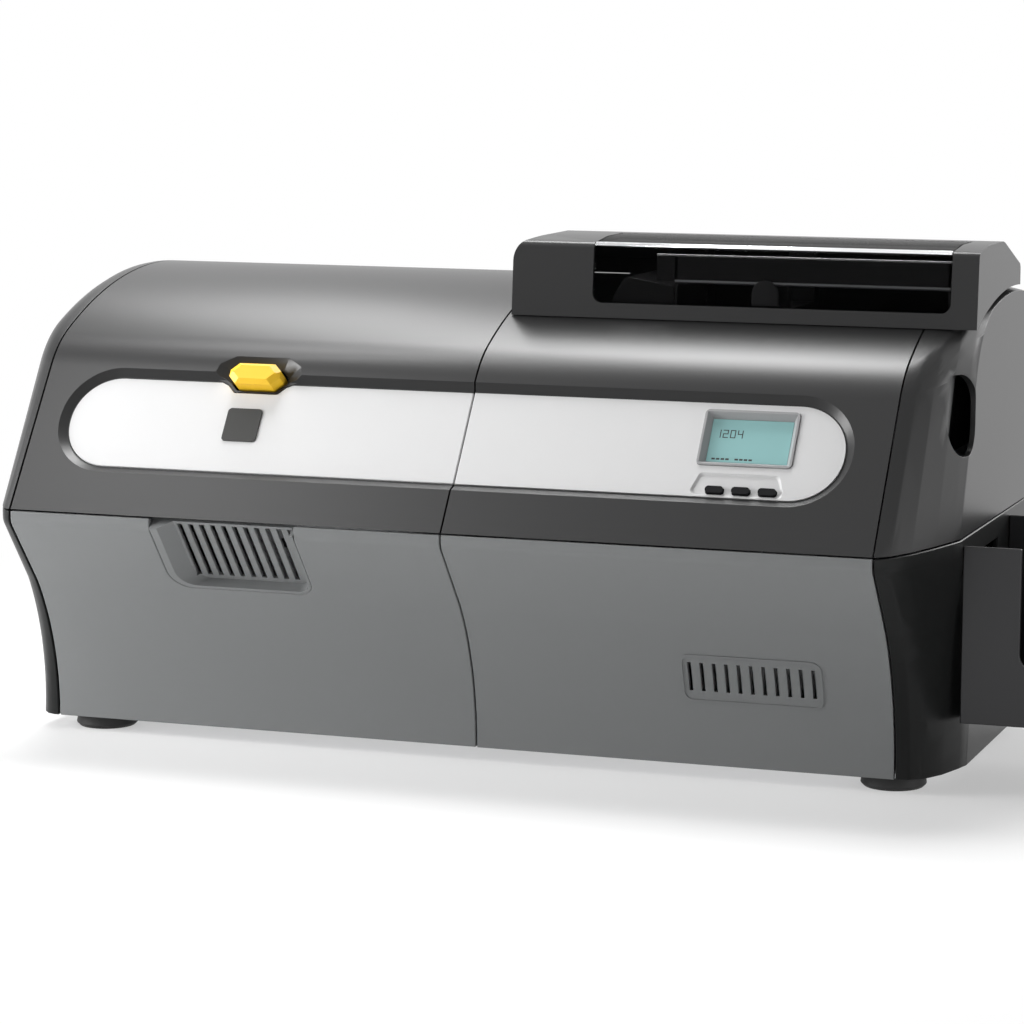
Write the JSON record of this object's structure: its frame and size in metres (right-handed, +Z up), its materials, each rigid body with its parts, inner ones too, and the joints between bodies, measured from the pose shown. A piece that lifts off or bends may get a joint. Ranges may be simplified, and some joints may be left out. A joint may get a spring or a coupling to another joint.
{
  "type": "id card printer",
  "caption": "Desktop card printer with an opening print cover and ribbon spools, a lidded card feeder, driven card path, flipper, reject bin and output hopper.",
  "frame": {"origin": "on the table, under the middle of the printer's bounding box", "axes": "+X along the printer towards the output hopper, +Y to the rear, +Z up; the display side faces -Y"},
  "size_m": [0.699, 0.2778, 0.306],
  "materials": {
    "cover_grey": "fine satin texture",
    "panel_grey": "fine satin texture",
    "cap_grey": "fine satin texture",
    "silver": "smooth satin",
    "badge_dark": "glossy",
    "latch_yellow": "smooth",
    "key_dark": "matt",
    "bezel_grey": "glossy",
    "display_glass": "back-lit panel",
    "smoked_window": "smoked, glossy",
    "rear_grey": "powder coat",
    "steel": "zinc plated sheet",
    "bright_steel": "ground bar",
    "aluminium": "bare",
    "head_ceramic": "fired",
    "roller_rubber": "ground",
    "belt_rubber": "matt",
    "foot_rubber": "matt",
    "gear_white": "moulded",
    "motor_black": "black",
    "inner_black": "moulded",
    "spool_plastic": "moulded core with wound film",
    "board_green": "solder mask",
    "supply_steel": "folded sheet"
  },
  "bodies": {
    "casing": {"upper_cover_right": "cover_grey", "rear_top_cover": "cover_grey", "left_end_upper": "cover_grey", "right_end_upper": "cover_grey", "lower_panel_left": "panel_grey", "lower_panel_right": "panel_grey", "vent_grille": "panel_grey", "left_end_lower": "cap_grey", "right_end_lower": "cap_grey", "strip_right": "silver", "lcd_bezel": "bezel_grey", "lcd_glass": "display_glass", "rear_panel": "rear_grey", "base_tray": "steel", "frame_plate_front": "steel", "frame_plate_rear": "steel", "card_guide": "steel", "hinge_pins": "bright_steel", "rear_screws": "bright_steel", "pusher_rail": "bright_steel", "drive_belt": "belt_rubber", "rubber_feet": "foot_rubber", "drive_motor": "motor_black", "card_bin": "inner_black", "pick_cover": "inner_black", "feed_chute": "inner_black", "output_hopper": "inner_black", "power_inlet": "inner_black", "fan_frame": "inner_black", "display_board": "board_green", "main_board": "board_green", "power_supply": "supply_steel"},
    "print_cover": {"print_cover": "cover_grey", "strip_left": "silver", "badge_plate": "badge_dark", "head_bracket": "steel", "heatsink": "aluminium", "printhead": "head_ceramic"},
    "latch": {"latch_button": "latch_yellow"},
    "lid": {"feeder_lid": "cover_grey", "feeder_window": "smoked_window"},
    "key_left": {"soft_key_left": "key_dark"},
    "key_middle": {"soft_key_middle": "key_dark"},
    "key_right": {"soft_key_right": "key_dark"},
    "pusher": {"card_pusher": "inner_black"},
    "reject_bin": {"reject_bin": "cap_grey"},
    "rocker": {"rocker_switch": "inner_black"},
    "fan": {"fan_rotor": "inner_black"},
    "supply_spool": {"supply_spool": "spool_plastic"},
    "takeup_spool": {"takeup_spool": "spool_plastic"},
    "platen": {"platen_roller": "roller_rubber"},
    "roller_1": {"transport_roller_1": "roller_rubber"},
    "roller_2": {"transport_roller_2": "roller_rubber", "drive_gear": "gear_white"},
    "roller_3": {"transport_roller_3": "roller_rubber"},
    "roller_4": {"transport_roller_4": "roller_rubber"},
    "roller_5": {"transport_roller_5": "roller_rubber"},
    "pinion": {"motor_pinion": "gear_white"},
    "flipper": {"flipper_drum": "inner_black"},
    "pick_roller": {"pick_roller": "roller_rubber"}
  },
  "joints": [
    {"name": "print_cover_hinge", "type": "hinge", "parent": "casing", "child": "print_cover", "pos_m": [-0.196, 0.101, 0.27], "axis": [-1, 0, 0], "range_deg": [0, 75]},
    {"name": "feeder_lid_hinge", "type": "hinge", "parent": "casing", "child": "lid", "pos_m": [0.0725, 0.101, 0.282], "axis": [-1, 0, 0], "range_deg": [0, 80]},
    {"name": "latch_press", "type": "slide", "parent": "print_cover", "child": "latch", "axis": [0, 0.8161, -0.5779], "range_m": [0, 0.003], "stiffness_N_per_m": 500, "springref_m": -0.003},
    {"name": "key_left_press", "type": "slide", "parent": "casing", "child": "key_left", "axis": [0, 0.8161, -0.5779], "range_m": [0, 0.0008], "stiffness_N_per_m": 600, "springref_m": -0.001},
    {"name": "key_middle_press", "type": "slide", "parent": "casing", "child": "key_middle", "axis": [0, 0.8161, -0.5779], "range_m": [0, 0.0008], "stiffness_N_per_m": 600, "springref_m": -0.001},
    {"name": "key_right_press", "type": "slide", "parent": "casing", "child": "key_right", "axis": [0, 0.8161, -0.5779], "range_m": [0, 0.0008], "stiffness_N_per_m": 600, "springref_m": -0.001},
    {"name": "pusher_slide", "type": "slide", "parent": "casing", "child": "pusher", "axis": [1, 0, 0], "range_m": [-0.045, 0.09]},
    {"name": "reject_bin_slide", "type": "slide", "parent": "casing", "child": "reject_bin", "axis": [-1, 0, 0], "range_m": [0, 0.075]},
    {"name": "rocker_tilt", "type": "hinge", "parent": "casing", "child": "rocker", "pos_m": [0.1055, 0.1325, 0.045], "axis": [-1, 0, 0], "range_deg": [0, 16]},
    {"name": "fan_spin", "type": "hinge", "parent": "casing", "child": "fan", "pos_m": [0.0005, 0.128, 0.11], "axis": [0, 1, 0], "continuous": true},
    {"name": "supply_spool_spin", "type": "hinge", "parent": "casing", "child": "supply_spool", "pos_m": [-0.25, 0.015, 0.19], "axis": [0, 1, 0], "continuous": true},
    {"name": "takeup_spool_spin", "type": "hinge", "parent": "casing", "child": "takeup_spool", "pos_m": [-0.15, 0.015, 0.19], "axis": [0, 1, 0], "continuous": true},
    {"name": "platen_spin", "type": "hinge", "parent": "casing", "child": "platen", "pos_m": [-0.2, 0.015, 0.117], "axis": [0, 1, 0], "continuous": true},
    {"name": "roller_1_spin", "type": "hinge", "parent": "casing", "child": "roller_1", "pos_m": [-0.12, 0.015, 0.117], "axis": [0, 1, 0], "continuous": true},
    {"name": "roller_2_spin", "type": "hinge", "parent": "casing", "child": "roller_2", "pos_m": [-0.04, 0.015, 0.117], "axis": [0, 1, 0], "continuous": true},
    {"name": "roller_3_spin", "type": "hinge", "parent": "casing", "child": "roller_3", "pos_m": [0.04, 0.015, 0.117], "axis": [0, 1, 0], "continuous": true},
    {"name": "roller_4_spin", "type": "hinge", "parent": "casing", "child": "roller_4", "pos_m": [0.12, 0.015, 0.117], "axis": [0, 1, 0], "continuous": true},
    {"name": "roller_5_spin", "type": "hinge", "parent": "casing", "child": "roller_5", "pos_m": [0.2, 0.015, 0.117], "axis": [0, 1, 0], "continuous": true},
    {"name": "pinion_spin", "type": "hinge", "parent": "casing", "child": "pinion", "pos_m": [-0.04, 0.015, 0.093], "axis": [0, 1, 0], "continuous": true},
    {"name": "flipper_turn", "type": "hinge", "parent": "casing", "child": "flipper", "pos_m": [-0.298, 0.015, 0.125], "axis": [0, 1, 0], "continuous": true},
    {"name": "pick_roller_spin", "type": "hinge", "parent": "casing", "child": "pick_roller", "pos_m": [0.029, 0.015, 0.206], "axis": [0, 1, 0], "continuous": true}
  ],
  "couplings": [
    {"joint": "platen_spin", "follows": "roller_2_spin", "ratio": 1},
    {"joint": "roller_1_spin", "follows": "roller_2_spin", "ratio": 1},
    {"joint": "roller_3_spin", "follows": "roller_2_spin", "ratio": 1},
    {"joint": "roller_4_spin", "follows": "roller_2_spin", "ratio": 1},
    {"joint": "roller_5_spin", "follows": "roller_2_spin", "ratio": 1},
    {"joint": "pinion_spin", "follows": "roller_2_spin", "ratio": -3}
  ]
}
